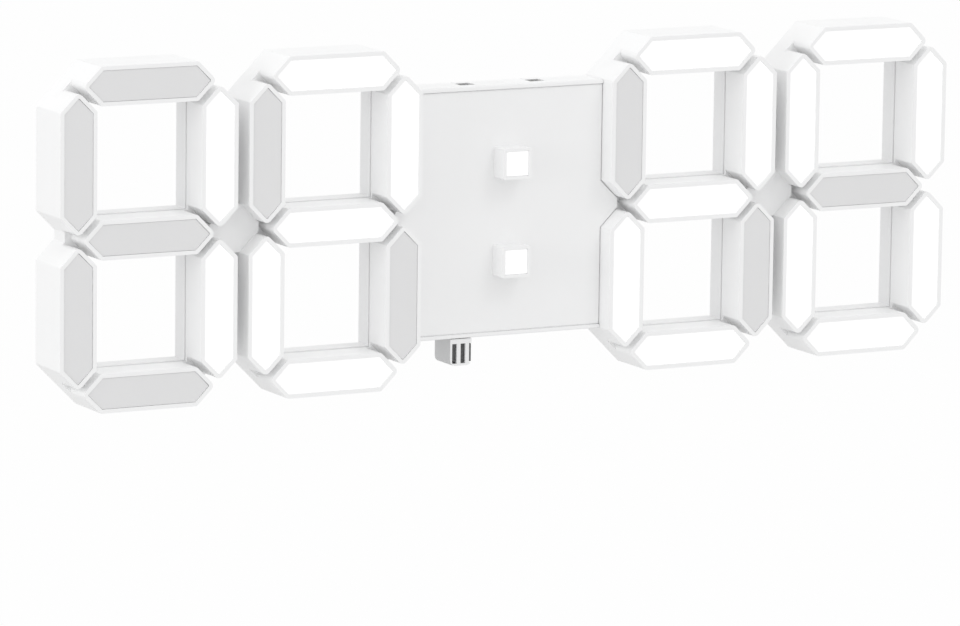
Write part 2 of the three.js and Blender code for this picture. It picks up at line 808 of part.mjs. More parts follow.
// Flat ribbon that links the main board to a pair's board through the ports in both side walls
function ribbonLink(side) {
  const outerWall = centreHalfWidth + skirtWall;
  const innerWall = centreHalfWidth - fitGap - skirtWall;
  const ramp = linkRise;
  const start = innerWall - linkOverlap - ramp;
  const end = outerWall + linkOverlap + ramp;
  const lower = [
    [start, partsFront],
    [innerWall - ramp, partsFront],
    [innerWall, partsFront + linkRise],
    [outerWall, partsFront + linkRise],
    [outerWall + ramp, partsFront],
    [end, partsFront],
  ];
  const upper = lower.map(([x, d]) => [x, d + linkThickness]).reverse();
  const outline = [...lower, ...upper];
  const placed = side < 0 ? outline.map(([x, d]) => [-x, d]).reverse() : outline;
  return column(placed, linkHeight - linkWidth / 2, linkHeight + linkWidth / 2);
}

function buzzer() {
  const [x, z] = buzzerPlace;
  const rear = partsFront + buzzerHeight;
  const port = rod(buzzerPortRadius, rear - buzzerHeight / 2, rear + overrun, x, z, screwSteps);
  return rod(buzzerRadius, partsFront, rear, x, z).subtract(port);
}

function radioModule() {
  const [x, z] = radioPlace;
  const board = rectangle(x - radioWidth / 2, x + radioWidth / 2, z - radioHeight / 2, z + radioHeight / 2);
  const can = inset(board, radioCanMargin);
  const boardEnd = partsFront + radioBoardThickness;
  return joined([prism(board, partsFront, boardEnd), prism(can, partsFront, boardEnd + radioCanThickness)]);
}

// Power socket that opens downwards through the floor of the centre moulding
function socketOutline(distance) {
  const half = socketWidth / 2;
  const rear = partsFront + socketThickness;
  const outline = rectangle(socketPlaceX - half, socketPlaceX + half, partsFront, rear, socketThickness / 2);
  return inset(outline, distance);
}

function powerSocket() {
  const bottom = -panelHalfHeight + fitGap;
  const top = bottom + socketLength;
  const middle = partsFront + socketThickness / 2;
  const tongue = rectangle(
    socketPlaceX - socketTongueWidth / 2,
    socketPlaceX + socketTongueWidth / 2,
    middle - socketTongueThickness / 2,
    middle + socketTongueThickness / 2,
  );
  const shell = column(socketOutline(0), bottom, top).subtract(
    column(socketOutline(socketShell), bottom - overrun, top - overrun),
  );
  return joined([shell, column(tongue, top - overrun - socketTongueLength, top - socketShell)]);
}

// Two lugs carry the sensor cover in the floor of the centre moulding
function lugOutlines(growth) {
  const reach = lugWidth / 2 + lugSetback;
  return [panelInside + reach, plateInside - reach].flatMap((middle) => [-1, 1].map((i) => {
    const outerX = sensorPlaceX + (i * sensorWidth) / 2;
    const edges = [outerX, outerX - i * sensorWall].sort((a, b) => a - b);
    return inset(rectangle(...edges, middle - lugWidth / 2, middle + lugWidth / 2), -growth);
  }));
}

const wireHoleOutline = () => {
  const middle = sensorFront + sensorDepth / 2;
  const halfX = wireHoleWidth / 2;
  const halfY = wireHoleDepth / 2;
  return rectangle(sensorPlaceX - halfX, sensorPlaceX + halfX, middle - halfY, middle + halfY);
};

function sensorCover() {
  const left = sensorPlaceX - sensorWidth / 2;
  const right = sensorPlaceX + sensorWidth / 2;
  const rear = sensorFront + sensorDepth;
  const outer = [
    [left, sensorBottom, sensorRadius],
    [right, sensorBottom, sensorRadius],
    [right, sensorTop],
    [left, sensorTop],
  ];
  const inner = [
    [left + sensorWall, sensorBottom + sensorWall, sensorRadius - sensorWall],
    [right - sensorWall, sensorBottom + sensorWall, sensorRadius - sensorWall],
    [right - sensorWall, sensorTop + overrun],
    [left + sensorWall, sensorTop + overrun],
  ];
  const lugs = lugOutlines(0).map((outline) => column(outline, sensorTop - joinDepth, sensorTop + lugHeight));
  const cornerVent = right - sensorWall - cornerVentReveal;
  const lastVent = Math.round(ventCount) - 1;
  const vents = Array.from({ length: lastVent + 1 }, (_, k) => {
    const isCorner = k === lastVent;
    const start = THREE.MathUtils.lerp(left + sensorWall, cornerVent, k / lastVent);
    const end = isCorner ? right + overrun : start + ventWidth;
    const opening = rectangle(start, end, sensorBottom + ventBottom, sensorTop - ventTop);
    return prism(opening, sensorFront - overrun, isCorner ? screenRear + fitGap : screenFront);
  });
  return cut(joined([prism(outer, sensorFront, rear), ...lugs]), [
    prism(inner, sensorFront + sensorWall, rear - sensorWall),
    ...vents,
  ]);
}

// Dust screen behind the vents, which shows through the corner vent as well
function sensorScreen() {
  const left = sensorPlaceX - sensorWidth / 2 + sensorWall + fitGap;
  const right = sensorPlaceX + sensorWidth / 2 - fitGap;
  const bottom = sensorBottom + Math.max(ventBottom, sensorWall) + fitGap;
  const top = sensorTop - ventTop - fitGap;
  const corner = sensorRadius;
  const outline = [[left, bottom, corner], [right, bottom, corner], [right, top], [left, top]];
  return prism(outline, screenFront, screenRear);
}

function sensorBoard() {
  const half = sensorWidth / 2 - sensorWall - fitGap;
  const front = sensorFront + sensorWall + sensorBoardSetback;
  const bottom = sensorBottom + sensorRadius;
  const plate = rectangle(sensorPlaceX - half, sensorPlaceX + half, bottom, sensorTop - sensorWall);
  const chipBottom = bottom + sensorChipThickness;
  const chip = rectangle(
    sensorPlaceX - sensorChipSide / 2,
    sensorPlaceX + sensorChipSide / 2,
    chipBottom,
    chipBottom + sensorChipSide,
  );
  return joined([
    prism(plate, front, front + sensorBoardThickness),
    prism(chip, front - sensorChipThickness, front + joinDepth),
  ]);
}

// Assembly
const placedX = (solid, x) => solid.translate(x, 0, 0);

for (const { name, side, digits } of pairs) {
  const middle = side * pairCentre;
  addPart(`front_housing_${name}`, placedX(pairFront(side), middle), housingWhite, 0.35);
  addPart(`rear_cover_${name}`, placedX(pairRear(side), middle), housingWhite, 0.5);
  addPart(`led_board_${name}`, placedX(pairBoard(side), middle), boardWhite, 0.55);
  addPart(`ribbon_link_${name}`, ribbonLink(side), unlitGrey, 0.6);
  digits.forEach(([digitName, shown], i) => {
    for (const [strokeName, outline] of Object.entries(segments)) {
      const solid = placedX(lens(moved(outline, pairDigits[i]), rimWall), middle);
      const isLit = shownStrokes[shown].includes(strokeName);
      const glow = isLit ? { emissive: litWhite, emissiveIntensity: 1 } : {};
      addPart(`lens_${digitName}_${strokeName}`, solid, isLit ? litWhite : unlitGrey, 0.45, glow);
    }
  });
  cornerPlaces(side).screws.forEach(([x, z], k) => {
    addPart(`cover_screw_${name}_${k + 1}`, screw([x + middle, z]), 0xb9bcc0, 0.35, { metalness: 1 });
  });
}

addPart('centre_panel', centreFront(), housingWhite, 0.35);
addPart('rear_cover_centre', centreRear(), housingWhite, 0.5);
addPart('main_board', mainBoard(), boardGreen, 0.55);
colonHeights.forEach((z, k) => {
  const glow = { emissive: litWhite, emissiveIntensity: 1 };
  const name = `lens_colon_${['upper', 'lower'][k]}`;
  addPart(name, lens(colonOutline(z), colonRimWall), litWhite, 0.45, glow);
});
addPart('cover_screw_centre', screw(centreScrew), 0xb9bcc0, 0.35, { metalness: 1 });
buttonHeights.forEach((z, k) => {
  addPart(`button_${['set', 'up', 'down'][k]}`, button(z), 0xe4e5e7, 0.5);
});
addPart('battery_door', batteryDoor(), housingWhite, 0.5);
addPart('coin_cell', coinCell(), 0xc9ccd0, 0.3, { metalness: 1 });
addPart('cell_holder', cellHolder(), 0x1b1c1e, 0.6);
addPart('buzzer', buzzer(), 0x1b1c1e, 0.55);
addPart('radio_module', radioModule(), 0xb4b8bc, 0.4, { metalness: 1 });
addPart('power_socket', powerSocket(), 0xc0c3c7, 0.3, { metalness: 1 });
addPart('sensor_cover', sensorCover(), housingWhite, 0.4);
addPart('sensor_screen', sensorScreen(), 0x6f7276, 0.7);
addPart('sensor_board', sensorBoard(), 0x20242a, 0.6);

export default clock;
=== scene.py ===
import json
import math
from functools import partial

import bmesh
import bpy
from bpy.props import FloatProperty, FloatVectorProperty, IntProperty, PointerProperty
from bpy.types import Operator, Panel, PropertyGroup
from mathutils import Matrix, Vector


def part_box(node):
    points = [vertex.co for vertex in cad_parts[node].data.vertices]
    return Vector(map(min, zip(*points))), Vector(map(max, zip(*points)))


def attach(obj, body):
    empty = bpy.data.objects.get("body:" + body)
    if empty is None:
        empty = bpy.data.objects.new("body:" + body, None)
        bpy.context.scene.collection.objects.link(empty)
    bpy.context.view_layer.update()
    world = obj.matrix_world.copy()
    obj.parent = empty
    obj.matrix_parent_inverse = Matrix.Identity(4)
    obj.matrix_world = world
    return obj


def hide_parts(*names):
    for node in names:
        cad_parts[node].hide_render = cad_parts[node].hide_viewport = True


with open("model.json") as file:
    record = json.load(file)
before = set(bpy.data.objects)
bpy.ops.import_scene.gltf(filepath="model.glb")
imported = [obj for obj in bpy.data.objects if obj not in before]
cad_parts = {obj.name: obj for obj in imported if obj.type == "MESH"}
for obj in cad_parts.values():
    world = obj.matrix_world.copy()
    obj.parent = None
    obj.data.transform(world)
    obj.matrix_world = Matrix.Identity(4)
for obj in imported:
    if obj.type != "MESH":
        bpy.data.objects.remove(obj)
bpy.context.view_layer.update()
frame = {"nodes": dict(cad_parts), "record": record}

bl_info = {
    "name": "Digital wall clock",
    "version": (1, 0, 0),
    "blender": (4, 5, 0),
    "location": "3D View > Sidebar > Clock",
    "description": "Dresses a large seven-segment wall clock and its studio stage",
    "category": "Object",
}

MM = 0.001
BODY = "clock"

# Two directions that differ by less than this count as one
FLAT_ANGLE = math.radians(0.5)
FLAT = math.cos(FLAT_ANGLE)

# A face runs along an axis whose share in the face's normal is below this
ALONG = 0.7

# Edges sharper than this are rounded
SHARP_ANGLE = math.radians(40)

# Points this close are joined, points this close to a cut lie on it, and faces this close in
# depth are level
JOIN_DISTANCE = 0.002 * MM
CUT_DISTANCE = 0.001 * MM
LEVEL_DISTANCE = 0.01 * MM

# Digits after the point that are kept when places and radii are compared, in metres
PLACE_DIGITS = 6
RADIUS_DIGITS = 5

# Sockets of a node that mixes two colours
MIX_FACTOR, MIX_FIRST, MIX_SECOND, MIX_RESULT = 0, 6, 7, 2

# Width of one band of the wave pattern at a scale of one, and how strongly raised structure shows
BAND_WIDTH = 0.314
BUMP_STRENGTH = 0.6

WHITE = (1, 1, 1, 1)

# The floor's reach from its middle, the squares along a side, its height, colour and roughness,
# and the share of plain white in what the camera sees of it
FLOOR_REACH = 12
FLOOR_SQUARES = 24
FLOOR_HEIGHT = -0.55
FLOOR_COLOUR = (0.75, 0.75, 0.75, 1)
FLOOR_ROUGHNESS = 0.8
FLOOR_WHITENESS = 0.97

# Strength of the soft light from all round, and of the white that is seen there
SOFT_STRENGTH = 0.92
SEEN_STRENGTH = 0.99

# Lamps that face the clock, with their places, the length of a side and the power in watts
LAMPS = {"key_light": (-3.0, -0.5, 0.5), "top_light": (1.2, -2.4, 3.0)}
LAMP_SIDE = 1.2
LAMP_POWER = 12

# The camera's place and direction, its lens and the width of its film in millimetres
CAMERA_PLACE = (-1.38635, -2.62339, 0.45413)
CAMERA_AZIMUTH = math.radians(-27.78)
CAMERA_ELEVATION = math.radians(9.64)
CAMERA_ROLL = math.radians(0.76)
CAMERA_LENS = 247.9
FILM_WIDTH = 36


# Sizes and colours

class ClockSizes(PropertyGroup):
    """Sizes of the edges, seams and small forms that the finish adds"""
    housing_edge: FloatProperty(
        name="Housing edge", description="Rounding of the moulded housing's edges",
        default=0.2 * MM, unit="LENGTH",
    )
    lens_edge: FloatProperty(
        name="Lens edge", description="Rounding of a lens's edges",
        default=0.15 * MM, unit="LENGTH",
    )
    lens_seat: FloatProperty(
        name="Lens seat", description="How far a lens reaches into the seam round it",
        default=0.2 * MM, unit="LENGTH",
    )
    panel_seam: FloatProperty(
        name="Panel seam", description="Width and depth of the seam at the panel's lips",
        default=0.5 * MM, unit="LENGTH",
    )
    small_edge: FloatProperty(
        name="Small edge", description="Rounding of the small inner pieces",
        default=0.12 * MM, unit="LENGTH",
    )
    screw_dome: FloatProperty(
        name="Screw dome", description="How far a screw's head rounds over",
        default=0.45 * MM, unit="LENGTH",
    )
    screw_drive: FloatProperty(
        name="Screw drive", description="Reach of the cross in a screw's head",
        default=1.35 * MM, unit="LENGTH",
    )
    button_dish: FloatProperty(
        name="Button dish", description="Depth of the hollow in a button's cap",
        default=0.18 * MM, unit="LENGTH",
    )
    edge_steps: IntProperty(
        name="Edge steps", description="Faces across a rounded edge", default=2, min=1
    )
    turned_steps: IntProperty(
        name="Turned steps", description="Faces round a turned piece", default=48, min=12
    )
    grain: FloatProperty(
        name="Grain", description="Width of the moulded plastic's fine grain",
        default=0.35 * MM, unit="LENGTH",
    )


class ClockColours(PropertyGroup):
    """Colours of the housing and the lenses"""
    housing: FloatVectorProperty(
        name="Housing", description="White plastic of the housing",
        subtype="COLOR", size=3, default=(0.942, 0.944, 0.946),
    )
    cover: FloatVectorProperty(
        name="Cover", description="White plastic of the rear covers",
        subtype="COLOR", size=3, default=(0.92, 0.922, 0.925),
    )
    unlit: FloatVectorProperty(
        name="Unlit lens", description="Milky grey of a dark segment",
        subtype="COLOR", size=3, default=(0.8, 0.8, 0.804),
    )
    lit: FloatVectorProperty(
        name="Lit lens", description="White light of a lit segment",
        subtype="COLOR", size=3, default=(1.0, 1.0, 1.0),
    )


# What the frame says

def slot_of(node):
    """The material slot that the record gives a node."""
    for row in frame["record"]["subparts"]:
        if row["node"] == node:
            return row["material_slot"]
    raise RuntimeError(f"the record has no finish for {node}")


def nodes_like(prefix):
    """The nodes whose names start with a prefix."""
    found = sorted(name for name in frame["nodes"] if name.startswith(prefix))
    if not found:
        raise RuntimeError(f"the frame has no piece that starts with {prefix}")
    return found


# Mesh helpers

def rounded(piece, width, steps):
    """Gives a piece small round edges and smooth shading that keeps its broad faces flat."""
    edges = piece.modifiers.new("edges", "BEVEL")
    edges.width = width
    edges.segments = steps
    edges.limit_method = "ANGLE"
    edges.angle_limit = SHARP_ANGLE
    edges.use_clamp_overlap = True
    edges.miter_outer = "MITER_ARC"
    shading = piece.modifiers.new("shading", "WEIGHTED_NORMAL")
    shading.keep_sharp = True
    for face in piece.data.polygons:
        face.use_smooth = True


def flat_regions(bm):
    """Groups of joined faces that lie in one plane."""
    seen = set()
    for start in bm.faces:
        if start in seen:
            continue
        seen.add(start)
        region, waiting = [], [start]
        while waiting:
            face = waiting.pop()
            region.append(face)
            for edge in face.edges:
                for other in edge.link_faces:
                    if other not in seen and other.normal.dot(start.normal) > FLAT:
                        seen.add(other)
                        waiting.append(other)
        yield region


def outline_loops(region):
    """The points of each outline of a flat region, the outer one and one for each hole."""
    inside = set(region)
    edges = {edge for face in region for edge in face.edges}
    rim = {edge for edge in edges if sum(face in inside for face in edge.link_faces) == 1}
    loops = []
    while rim:
        loop, waiting = set(), [rim.pop()]
        while waiting:
            edge = waiting.pop()
            loop.add(edge)
            for vert in edge.verts:
                for other in vert.link_edges:
                    if other in rim:
                        rim.discard(other)
                        waiting.append(other)
        loops.append([vert.co.copy() for edge in loop for vert in edge.verts])
    return loops


def cuts_through_holes(bm):
    """Planes through the middle of every hole, so that no face has to go round a hole."""
    planes = set()
    for region in flat_regions(bm):
        normal = region[0].normal
        spans = []
        for loop in outline_loops(region):
            low = Vector([min(point[i] for point in loop) for i in range(3)])
            high = Vector([max(point[i] for point in loop) for i in range(3)])
            spans.append((low, high))
        spans.sort(key=lambda span: (span[1] - span[0]).length)
        for low, high in spans[:-1]:
            choices = [axis for axis in range(3) if abs(normal[axis]) < ALONG]
            axis = max(choices, key=lambda i: high[i] - low[i])
            planes.add((axis, round((low[axis] + high[axis]) / 2, PLACE_DIGITS)))
    return sorted(planes)


def cut_across(bm, point, direction):
    """Cuts the faces of a mesh along a plane and returns the edges and points on the cut."""
    geometry = [*bm.verts, *bm.edges, *bm.faces]
    cut = bmesh.ops.bisect_plane(
        bm, geom=geometry, dist=CUT_DISTANCE, plane_co=point, plane_no=direction
    )
    return cut["geom_cut"]


def node_mesh(node):
    """The frame's solid of a node as clean, joined faces."""
    bm = bmesh.new()
    bm.from_mesh(frame["nodes"][node].data)
    bmesh.ops.remove_doubles(bm, verts=bm.verts, dist=JOIN_DISTANCE)
    bmesh.ops.recalc_face_normals(bm, faces=bm.faces)
    for axis, place in cuts_through_holes(bm):
        point, direction = Vector(), Vector()
        point[axis], direction[axis] = place, 1
        for item in cut_across(bm, point, direction):
            if isinstance(item, bmesh.types.BMEdge):
                item.seam = True
    bmesh.ops.dissolve_limit(
        bm, angle_limit=FLAT_ANGLE, verts=bm.verts, edges=bm.edges, delimit={"SEAM"}
    )
    return bm


def turned_mesh(profile, place, steps):
    """A turned solid on an axis that runs from front to back. The profile lists radius and y."""
    bm = bmesh.new()
    x, z = place
    rings = []
    for radius, y in profile:
        if radius == 0:
            rings.append([bm.verts.new((x, y, z))])
            continue
        ring = []
        for k in range(steps):
            angle = 2 * math.pi * k / steps
            across, up = radius * math.cos(angle), radius * math.sin(angle)
            ring.append(bm.verts.new((x + across, y, z + up)))
        rings.append(ring)
    for first, second in zip(rings, rings[1:]):
        for k in range(steps):
            corners = [
                first[k % len(first)],
                first[(k + 1) % len(first)],
                second[(k + 1) % len(second)],
                second[k % len(second)],
            ]
            corners = list(dict.fromkeys(corners))
            if len(corners) > 2:
                bm.faces.new(corners)
    for ring in (rings[0], rings[-1]):
        if len(ring) > 2:
            bm.faces.new(ring)
    bmesh.ops.recalc_face_normals(bm, faces=bm.faces)
    return bm


def turned_form(node):
    """The place and the profile of a turned solid, read from its rings."""
    low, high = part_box(node)
    place = ((low.x + high.x) / 2, (low.z + high.z) / 2)
    rings = {}
    for vert in frame["nodes"][node].data.vertices:
        radius = math.hypot(vert.co.x - place[0], vert.co.z - place[1])
        rings.setdefault(round(vert.co.y, PLACE_DIGITS), set()).add(round(radius, RADIUS_DIGITS))
    profile = []
    for y in sorted(rings):
        last = profile[-1][0] if profile else 0
        nearest_first = sorted(rings[y], key=lambda radius: abs(radius - last))
        profile += [(radius, y) for radius in nearest_first]
    if profile[0][0] > 0:
        profile.insert(0, (0, profile[0][1]))
    if profile[-1][0] > 0:
        profile.append((0, profile[-1][1]))
    return place, profile


def united(first, second):
    """Joins two closed meshes into one solid."""
    solids = []
    for bm in (first, second):
        mesh = bpy.data.meshes.new("solid")
        bm.to_mesh(mesh)
        bm.free()
        solids.append(bpy.data.objects.new("solid", mesh))
        bpy.context.scene.collection.objects.link(solids[-1])
    join = solids[0].modifiers.new("join", "BOOLEAN")
    join.operation = "UNION"
    join.solver = "EXACT"
    join.object = solids[1]
    result = bmesh.new()
    result.from_object(solids[0], bpy.context.evaluated_depsgraph_get())
    bmesh.ops.remove_doubles(result, verts=result.verts, dist=JOIN_DISTANCE)
    bmesh.ops.dissolve_limit(
        result, angle_limit=FLAT_ANGLE, verts=result.verts, edges=result.edges
    )
    for solid in solids:
        mesh = solid.data
        bpy.data.objects.remove(solid)
        bpy.data.meshes.remove(mesh)
    return result


def widened(bm, reach):
    """Moves the sides of a flat piece outwards, so that only a fine seam is left round it."""
    for axis in (0, 2):
        places = [vert.co[axis] for vert in bm.verts]
        middle = (min(places) + max(places)) / 2
        share = 1 + 2 * reach / (max(places) - min(places))
        for vert in bm.verts:
            vert.co[axis] = middle + (vert.co[axis] - middle) * share


def cross(x, z, reach, width):
    """The outline of a cross, seen from behind, with arms of a given reach and width."""
    half = width / 2
    quarter = [(half, half), (half, reach), (-half, reach)]
    turns = [lambda a, b: (a, b), lambda a, b: (-b, a), lambda a, b: (-a, -b), lambda a, b: (b, -a)]
    points = [turn(*point) for turn in turns for point in quarter]
    return [(x + across, z + up) for across, up in points]


def sink(bm, faces, depth):
    """Sinks joined faces backwards by a depth, with walls round them."""
    inside = set(faces)
    lowered = {}
    made_faces = []
    for face in faces:
        for vert in face.verts:
            if vert not in lowered:
                lowered[vert] = bm.verts.new(vert.co + Vector((0, depth, 0)))
        made_faces.append([lowered[vert] for vert in face.verts])
    for face in faces:
        for loop in face.loops:
            if not all(other in inside for other in loop.edge.link_faces):
                first, second = loop.vert, loop.link_loop_next.vert
                made_faces.append([first, second, lowered[second], lowered[first]])
    for corners in made_faces:
        bm.faces.new(corners)
    bmesh.ops.delete(bm, geom=faces, context="FACES")


def rear_face(bm, y):
    """The largest face that looks backwards at a given depth."""
    faces = [
        face for face in bm.faces
        if face.normal.y > FLAT and abs(face.verts[0].co.y - y) < LEVEL_DISTANCE
    ]
    return max(faces, key=lambda face: face.calc_area())


def pressed_in(bm, face, outlines, depth, share):
    """Presses shapes into a face that looks backwards. Their floors are a share of their mouths."""
    y = face.verts[0].co.y
    index = face.material_index
    rim = list(face.edges)
    mouths = []
    for outline in outlines:
        mouth = [bm.verts.new((x, y, z)) for x, z in outline]
        rim += [bm.edges.new((a, b)) for a, b in zip(mouth, mouth[1:] + mouth[:1])]
        mouths.append(mouth)
    bmesh.ops.delete(bm, geom=[face], context="FACES_ONLY")
    filled = bmesh.ops.triangle_fill(bm, edges=rim, use_beauty=True, normal=(0, 1, 0))
    made_faces = [item for item in filled["geom"] if isinstance(item, bmesh.types.BMFace)]
    for mouth in mouths:
        middle = sum((vert.co for vert in mouth), Vector()) / len(mouth)
        down = Vector((0, -depth, 0))
        floor = [bm.verts.new(middle.lerp(vert.co, share) + down) for vert in mouth]
        for k in range(len(mouth)):
            made_faces.append(bm.faces.new((mouth[k - 1], mouth[k], floor[k], floor[k - 1])))
        made_faces.append(bm.faces.new(floor))
    for made_face in made_faces:
        made_face.material_index = index
    bmesh.ops.recalc_face_normals(bm, faces=bm.faces)


# Materials

def toned(colour, share):
    """A colour made darker or lighter, and never lighter than white."""
    return [min(1.0, channel * share) for channel in colour]


class Surface:
    """Builds one material node by node."""

    def __init__(self, name):
        self.material = bpy.data.materials.new(name)
        self.material.use_nodes = True
        self.tree = self.material.node_tree
        self.shader = self.tree.nodes["Principled BSDF"]
        self.place = self.add("ShaderNodeTexCoord").outputs["Object"]

    def add(self, kind, **settings):
        """A new node with its settings."""
        node = self.tree.nodes.new(kind)
        for key, value in settings.items():
            setattr(node, key, value)
        return node

    def link(self, source, target):
        """Joins two sockets."""
        self.tree.links.new(source, target)

    def noise(self, size, detail=3.0):
        """Noise whose patches are about as wide as the size."""
        node = self.add("ShaderNodeTexNoise")
        node.inputs["Scale"].default_value = 1 / size
        node.inputs["Detail"].default_value = detail
        self.link(self.place, node.inputs["Vector"])
        return node.outputs["Fac"]

    def bands(self, direction, pitch):
        """Even waves along one axis."""
        node = self.add("ShaderNodeTexWave", wave_type="BANDS", bands_direction=direction)
        node.inputs["Scale"].default_value = BAND_WIDTH / pitch
        self.link(self.place, node.inputs["Vector"])
        return node.outputs["Fac"]

    def spread(self, source, low, high, start=0.3, end=0.7):
        """Spreads a value between start and end over the range from low to high."""
        node = self.add("ShaderNodeMapRange")
        node.inputs["From Min"].default_value = start
        node.inputs["From Max"].default_value = end
        node.inputs["To Min"].default_value = low
        node.inputs["To Max"].default_value = high
        self.link(source, node.inputs["Value"])
        return node.outputs["Result"]

    def blend(self, factor, first, second):
        """Goes from the first colour to the second as the factor rises."""
        node = self.add("ShaderNodeMix", data_type="RGBA")
        for socket, value in ((node.inputs[MIX_FIRST], first), (node.inputs[MIX_SECOND], second)):
            if hasattr(value, "is_linked"):
                self.link(value, socket)
            else:
                socket.default_value = (*value[:3], 1)
        self.link(factor, node.inputs[MIX_FACTOR])
        return node.outputs[MIX_RESULT]

    def mottled(self, colour, amount, size):
        """A colour that varies softly over a given size."""
        darker = toned(colour, 1 - amount)
        return self.blend(self.spread(self.noise(size), 0.0, 1.0), darker, colour)

    def lightened_edges(self, colour, edge, amount):
        """A colour that lightens a little along exposed edges."""
        pointed = self.add("ShaderNodeNewGeometry").outputs["Pointiness"]
        return self.blend(self.spread(pointed, 0.0, amount, start=0.52, end=0.6), colour, edge)

    def relief(self, height, depth):
        """Fine raised structure."""
        node = self.add("ShaderNodeBump")
        node.inputs["Distance"].default_value = depth
        node.inputs["Strength"].default_value = BUMP_STRENGTH
        self.link(height, node.inputs["Height"])
        self.link(node.outputs["Normal"], self.shader.inputs["Normal"])

    def coloured(self, colour):
        """Gives the surface its colour."""
        self.link(colour, self.shader.inputs["Base Color"])

    def rough(self, low, high, size):
        """Roughness that varies softly between two values."""
        self.link(self.spread(self.noise(size), low, high), self.shader.inputs["Roughness"])

    def plain(self, values):
        """Values that are the same all over the surface, each under its socket's name."""
        for socket, value in values.items():
            self.shader.inputs[socket].default_value = value


def moulded_plastic(name, colour, roughness, grain, depth):
    """Satin moulded plastic with fine grain, soft mottling and lighter edges."""
    surface = Surface(name)
    body = surface.mottled(colour, amount=0.012, size=40 * MM)
    # The colour is lightened on sharp convex edges, found by pointiness
    surface.coloured(surface.lightened_edges(body, edge=toned(colour, 1.04), amount=0.7))
    surface.rough(low=roughness - 0.05, high=roughness + 0.06, size=9 * MM)
    surface.relief(surface.noise(grain, detail=2.0), depth)
    return surface.material


def milky_lens(name, colour, light, strength):
    """Milky diffuser plastic, dark or lit from behind."""
    surface = Surface(name)
    surface.coloured(surface.mottled(colour, amount=0.01, size=25 * MM))
    surface.rough(low=0.42, high=0.52, size=6 * MM)
    surface.relief(surface.noise(size=0.5 * MM, detail=2.0), depth=0.004 * MM)
    surface.plain({
        "Subsurface Weight": 0.1,
        "Subsurface Radius": (2 * MM, 2 * MM, 2 * MM),
        "Subsurface Scale": 1.0,
    })
    if strength:
        glow = surface.mottled(light, amount=0.02, size=12 * MM)
        surface.link(glow, surface.shader.inputs["Emission Color"])
        surface.plain({"Emission Strength": strength})
    return surface.material


def plain_metal(name, colour, roughness):
    """Bare metal with fine scratches and uneven shine."""
    surface = Surface(name)
    surface.coloured(surface.mottled(colour, amount=0.12, size=2.5 * MM))
    surface.rough(low=roughness - 0.06, high=roughness + 0.12, size=0.8 * MM)
    surface.relief(surface.noise(size=0.12 * MM, detail=2.0), depth=0.01 * MM)
    surface.plain({"Metallic": 1.0})
    return surface.material


def circuit_board(name, mask, copper, pitch):
    """Solder mask with faintly raised tracks."""
    surface = Surface(name)
    tracks = surface.add("ShaderNodeTexBrick", offset=0.37, squash=1.0)
    turn = surface.add("ShaderNodeMapping")
    turn.inputs["Rotation"].default_value = (math.radians(90), 0, 0)
    surface.link(surface.place, turn.inputs["Vector"])
    surface.link(turn.outputs["Vector"], tracks.inputs["Vector"])
    layout = {"Scale": 1 / pitch, "Mortar Size": 0.06, "Brick Width": 2.6, "Row Height": 0.8}
    for socket, value in layout.items():
        tracks.inputs[socket].default_value = value
    lines = tracks.outputs["Fac"]
    board = surface.mottled(mask, amount=0.06, size=6 * MM)
    surface.coloured(surface.blend(lines, board, copper))
    surface.rough(low=0.28, high=0.42, size=3 * MM)
    surface.relief(lines, depth=0.03 * MM)
    return surface.material


def ribbon_surface(name, colour, pitch):
    """Flat ribbon whose conductors show as fine ridges along it, with painted shade darkening the
    valleys between them.
    """
    surface = Surface(name)
    wires = surface.bands("Z", pitch)
    ridge = surface.mottled(colour, amount=0.05, size=3 * MM)
    # Painted shade: the valleys between the conductors are darker
    surface.coloured(surface.blend(wires, toned(colour, 0.72), ridge))
    surface.rough(low=0.4, high=0.55, size=2 * MM)
    surface.relief(wires, depth=0.12 * MM)
    return surface.material


def woven_screen(name, colour, pitch):
    """Fine dark mesh that keeps dust out, with its crossing threads and painted shade darkening the
    openings between them.
    """
    surface = Surface(name)
    threads = [surface.bands(direction, pitch) for direction in ("X", "Z")]
    crossing = surface.add("ShaderNodeMath", operation="MAXIMUM")
    for thread, socket in zip(threads, crossing.inputs):
        surface.link(thread, socket)
    height = crossing.outputs[0]
    thread_colour = surface.mottled(colour, amount=0.5, size=2 * MM)
    # Painted shade: the openings between the threads are darker
    surface.coloured(surface.blend(height, toned(colour, 0.35), thread_colour))
    surface.rough(low=0.55, high=0.75, size=1.5 * MM)
    surface.relief(height, depth=0.1 * MM)
    return surface.material


made = {}


